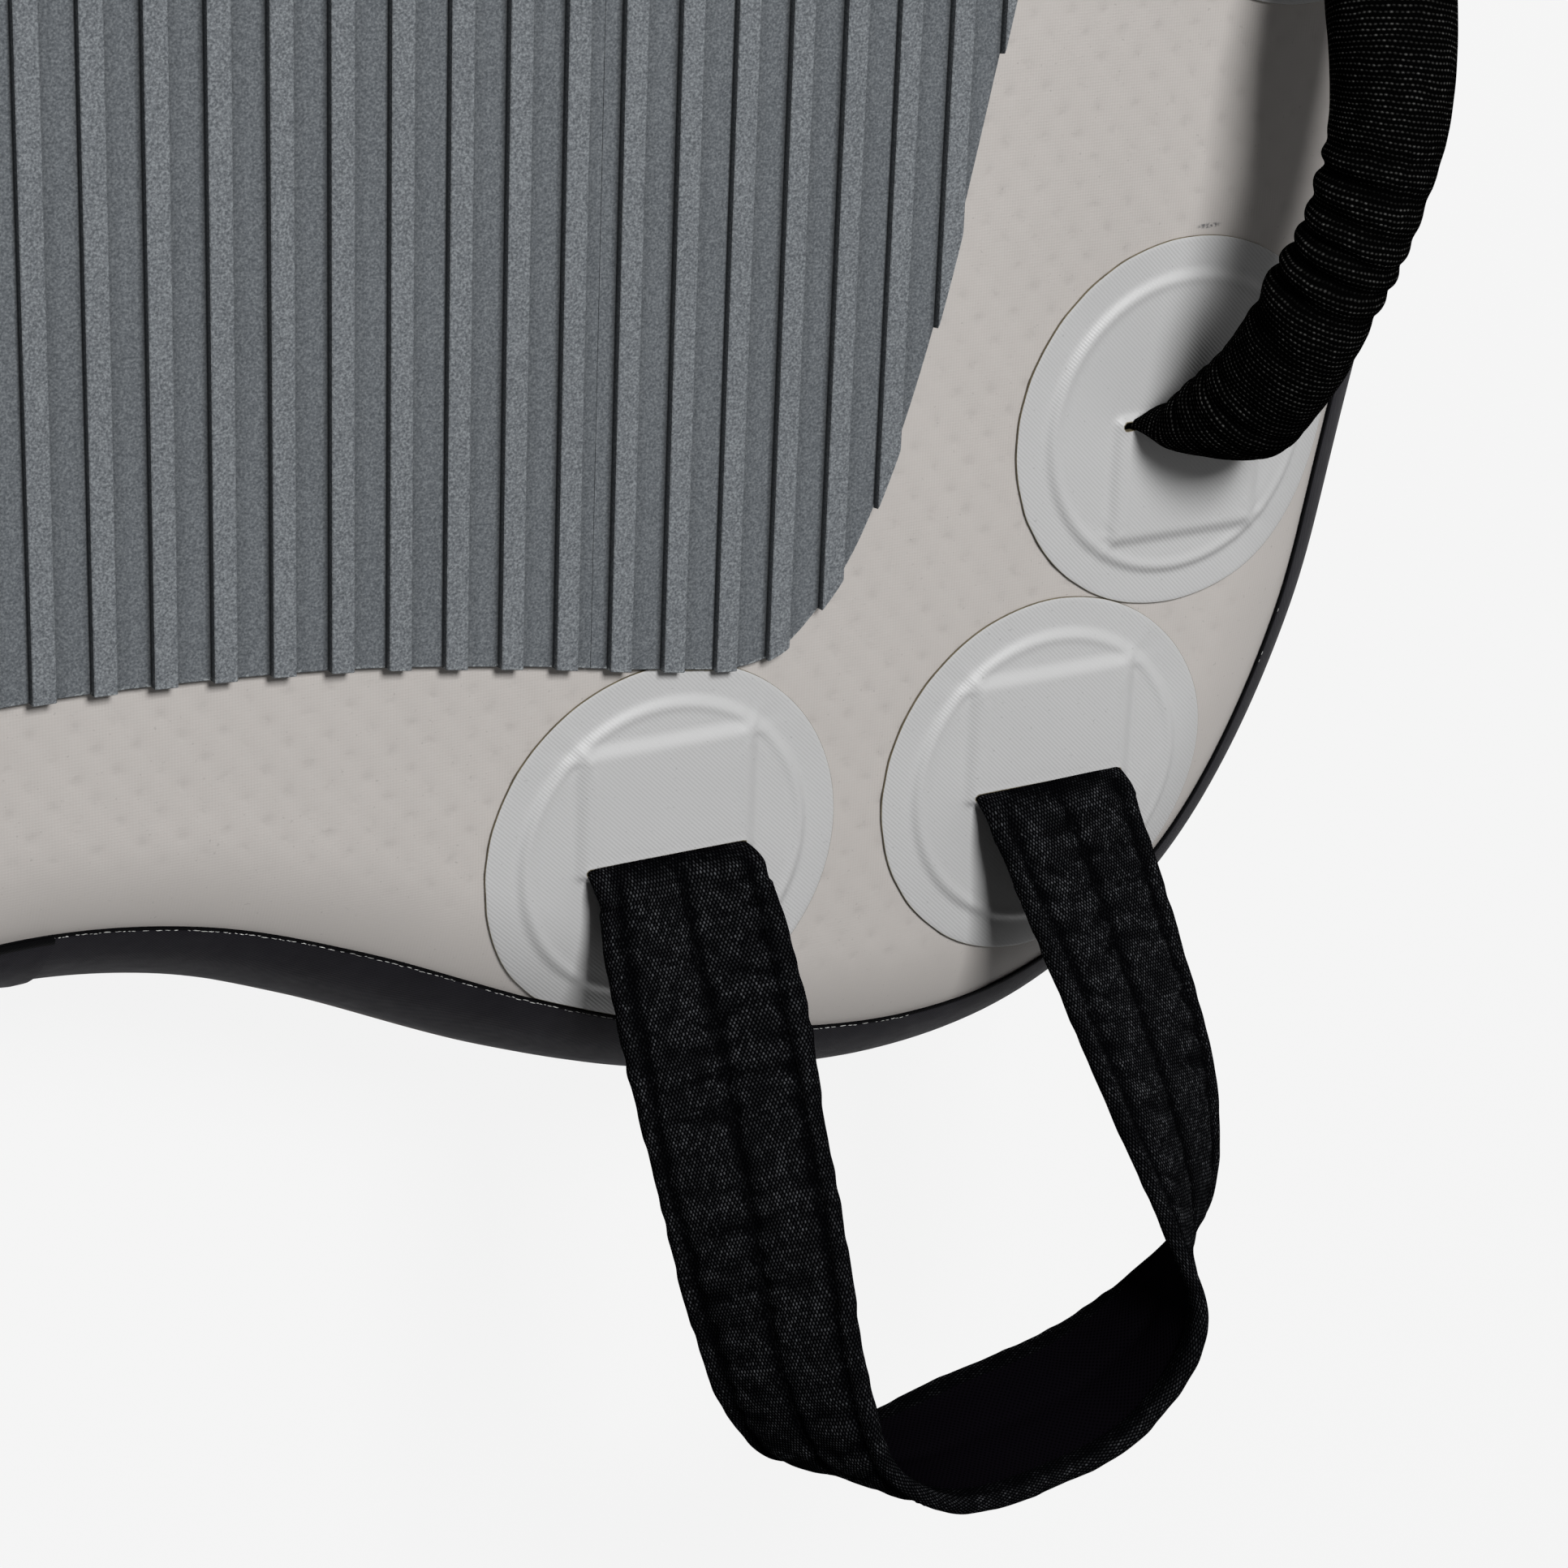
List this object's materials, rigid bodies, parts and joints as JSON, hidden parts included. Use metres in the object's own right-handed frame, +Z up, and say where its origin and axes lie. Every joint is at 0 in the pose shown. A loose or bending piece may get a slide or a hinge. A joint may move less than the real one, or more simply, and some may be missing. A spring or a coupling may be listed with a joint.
{
  "type": "watercraft rescue sled",
  "caption": "Inflatable rescue sled with a notched tail, taped rail, ribbed foam pad, padded tail loops, tube handles, D-rings and a valve.",
  "frame": {"origin": "the underside mount: on the hull's centre line and its flat underside, about midway along it", "axes": "+Y forward to the bow, +X to starboard, +Z up from the deck"},
  "size_m": [1.0624, 1.8574, 0.2374],
  "materials": {
    "deck_fabric": "satin coated fabric",
    "bottom_fabric": "satin coated fabric",
    "rail_tape": "satin coated tape",
    "drop_stitch": "matt polyester cloth",
    "pad_foam": "matt closed-cell foam",
    "patch_fabric": "satin coated fabric",
    "webbing": "woven webbing",
    "woven_cover": "woven oxford cloth",
    "liner": "matt soft liner",
    "handle_foam": "matt closed-cell foam",
    "steel": "polished stainless steel",
    "valve_plastic": "moulded plastic",
    "valve_rubber": "moulded rubber"
  },
  "bodies": {
    "hull": {"deck_skin": "deck_fabric", "bottom_skin": "bottom_fabric", "rail_wall": "bottom_fabric", "rail_tape": "rail_tape", "rail_tape_overlap": "rail_tape", "drop_stitch_fabric": "drop_stitch", "deck_pad_centre": "pad_foam", "deck_pad_port": "pad_foam", "deck_pad_starboard": "pad_foam", "tail_loop_port_inner_patch": "patch_fabric", "tail_loop_port_outer_patch": "patch_fabric", "tail_loop_starboard_inner_patch": "patch_fabric", "tail_loop_starboard_outer_patch": "patch_fabric", "tail_loop_port_inner_webbing_tail": "webbing", "tail_loop_port_outer_webbing_tail": "webbing", "tail_loop_starboard_inner_webbing_tail": "webbing", "tail_loop_starboard_outer_webbing_tail": "webbing", "aft_port_handle_aft_patch": "patch_fabric", "aft_port_handle_forward_patch": "patch_fabric", "aft_starboard_handle_aft_patch": "patch_fabric", "aft_starboard_handle_forward_patch": "patch_fabric", "forward_port_handle_aft_patch": "patch_fabric", "forward_port_handle_forward_patch": "patch_fabric", "forward_starboard_handle_aft_patch": "patch_fabric", "forward_starboard_handle_forward_patch": "patch_fabric", "aft_port_handle_aft_webbing_tail": "webbing", "aft_port_handle_forward_webbing_tail": "webbing", "aft_starboard_handle_aft_webbing_tail": "webbing", "aft_starboard_handle_forward_webbing_tail": "webbing", "forward_port_handle_aft_webbing_tail": "webbing", "forward_port_handle_forward_webbing_tail": "webbing", "forward_starboard_handle_aft_webbing_tail": "webbing", "forward_starboard_handle_forward_webbing_tail": "webbing", "d_ring_port_patch": "patch_fabric", "d_ring_starboard_patch": "patch_fabric", "valve_body": "valve_plastic", "valve_spring": "steel"},
    "port_tail_loop": {"tail_loop_port_cover": "woven_cover", "tail_loop_port_webbing": "webbing", "tail_loop_port_liner": "liner"},
    "starboard_tail_loop": {"tail_loop_starboard_cover": "woven_cover", "tail_loop_starboard_webbing": "webbing", "tail_loop_starboard_liner": "liner"},
    "aft_port_handle": {"aft_port_handle_sleeve": "woven_cover", "aft_port_handle_foam": "handle_foam", "aft_port_handle_webbing": "webbing"},
    "aft_starboard_handle": {"aft_starboard_handle_sleeve": "woven_cover", "aft_starboard_handle_foam": "handle_foam", "aft_starboard_handle_webbing": "webbing"},
    "forward_port_handle": {"forward_port_handle_sleeve": "woven_cover", "forward_port_handle_foam": "handle_foam", "forward_port_handle_webbing": "webbing"},
    "forward_starboard_handle": {"forward_starboard_handle_sleeve": "woven_cover", "forward_starboard_handle_foam": "handle_foam", "forward_starboard_handle_webbing": "webbing"},
    "port_d_ring": {"d_ring_port_ring": "steel"},
    "starboard_d_ring": {"d_ring_starboard_ring": "steel"},
    "valve_poppet": {"valve_poppet": "valve_rubber"},
    "valve_cap": {"valve_cap": "valve_plastic"}
  },
  "joints": [
    {"name": "port_tail_loop_swing", "type": "hinge", "parent": "hull", "child": "port_tail_loop", "pos_m": [-0.2603, -0.7955, 0.1278], "axis": [-1, 0, 0], "range_deg": [-8, 120], "stiffness_Nm_per_rad": 1.2, "springref_deg": 3.44},
    {"name": "starboard_tail_loop_swing", "type": "hinge", "parent": "hull", "child": "starboard_tail_loop", "pos_m": [0.2603, -0.7955, 0.1278], "axis": [-1, 0, 0], "range_deg": [-8, 120], "stiffness_Nm_per_rad": 1.2, "springref_deg": 3.44},
    {"name": "aft_port_handle_sway", "type": "hinge", "parent": "hull", "child": "aft_port_handle", "pos_m": [-0.3674, -0.6825, 0.1348], "axis": [0.1825, -0.9832, 0], "range_deg": [-35, 35], "stiffness_Nm_per_rad": 1.5},
    {"name": "aft_starboard_handle_sway", "type": "hinge", "parent": "hull", "child": "aft_starboard_handle", "pos_m": [0.3674, -0.6825, 0.1348], "axis": [0.1825, 0.9832, 0], "range_deg": [-35, 35], "stiffness_Nm_per_rad": 1.5},
    {"name": "forward_port_handle_sway", "type": "hinge", "parent": "hull", "child": "forward_port_handle", "pos_m": [-0.4351, 0.03, 0.1348], "axis": [-0.0419, -0.9991, 0], "range_deg": [-35, 35], "stiffness_Nm_per_rad": 1.5},
    {"name": "forward_starboard_handle_sway", "type": "hinge", "parent": "hull", "child": "forward_starboard_handle", "pos_m": [0.4351, 0.03, 0.1348], "axis": [-0.0419, 0.9991, 0], "range_deg": [-35, 35], "stiffness_Nm_per_rad": 1.5},
    {"name": "port_d_ring_turn", "type": "hinge", "parent": "hull", "child": "port_d_ring", "pos_m": [-0.3, 0.6986, 0.1559], "axis": [1, 0, 0], "range_deg": [0, 165]},
    {"name": "starboard_d_ring_turn", "type": "hinge", "parent": "hull", "child": "starboard_d_ring", "pos_m": [0.3, 0.6986, 0.1559], "axis": [1, 0, 0], "range_deg": [0, 165]},
    {"name": "valve_poppet_slide", "type": "slide", "parent": "hull", "child": "valve_poppet", "axis": [0, 0, -1], "range_m": [0, 0.006], "stiffness_N_per_m": 300, "springref_m": -0.002, "deforming": ["valve_spring"]},
    {"name": "valve_cap_turn", "type": "hinge", "parent": "hull", "child": "valve_cap", "pos_m": [0, 0.395, 0.1236], "axis": [0, 0, 1], "range_deg": [0, 90]}
  ]
}
